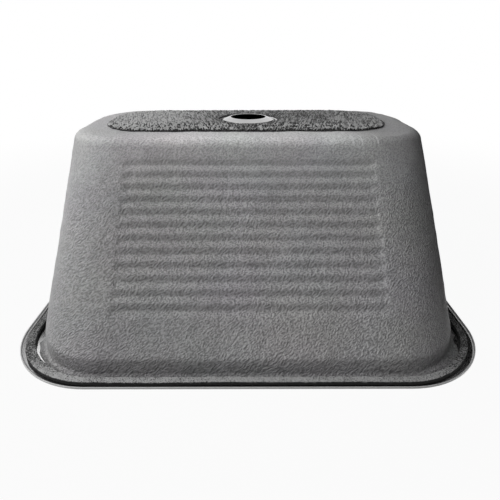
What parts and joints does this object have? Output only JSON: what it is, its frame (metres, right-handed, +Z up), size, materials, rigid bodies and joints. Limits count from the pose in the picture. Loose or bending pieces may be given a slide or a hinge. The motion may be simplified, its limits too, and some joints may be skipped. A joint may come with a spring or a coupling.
{
  "type": "laundry sink",
  "caption": "Inset pressed steel laundry sink with a washboard wall, lying face down on its rim, with sprayed undercoat, sound pad, drain seat and foam rim gasket.",
  "frame": {"origin": "centre of the rim's footprint, on the floor that the rim's show face lies on", "axes": "+X to the right seen from the washboard side, +Y from the washboard wall to the back wall, +Z up from the floor; in use the part is turned over, so +Z then points down into the cabinet"},
  "size_m": [0.52, 0.43, 0.2205],
  "materials": {
    "bowl_steel": "satin stainless steel, bare",
    "undercoat_grey": "sprayed sound-deadening coat, matt, orange-peel texture",
    "pad_dark": "rough fibrous bitumen pad with grey overspray",
    "gasket_foam": "black foam strip, its top oversprayed grey"
  },
  "bodies": {
    "root": {"steel_bowl": "bowl_steel", "undercoat": "undercoat_grey", "bottom_sound_pad": "pad_dark", "rim_gasket": "gasket_foam"}
  },
  "joints": []
}
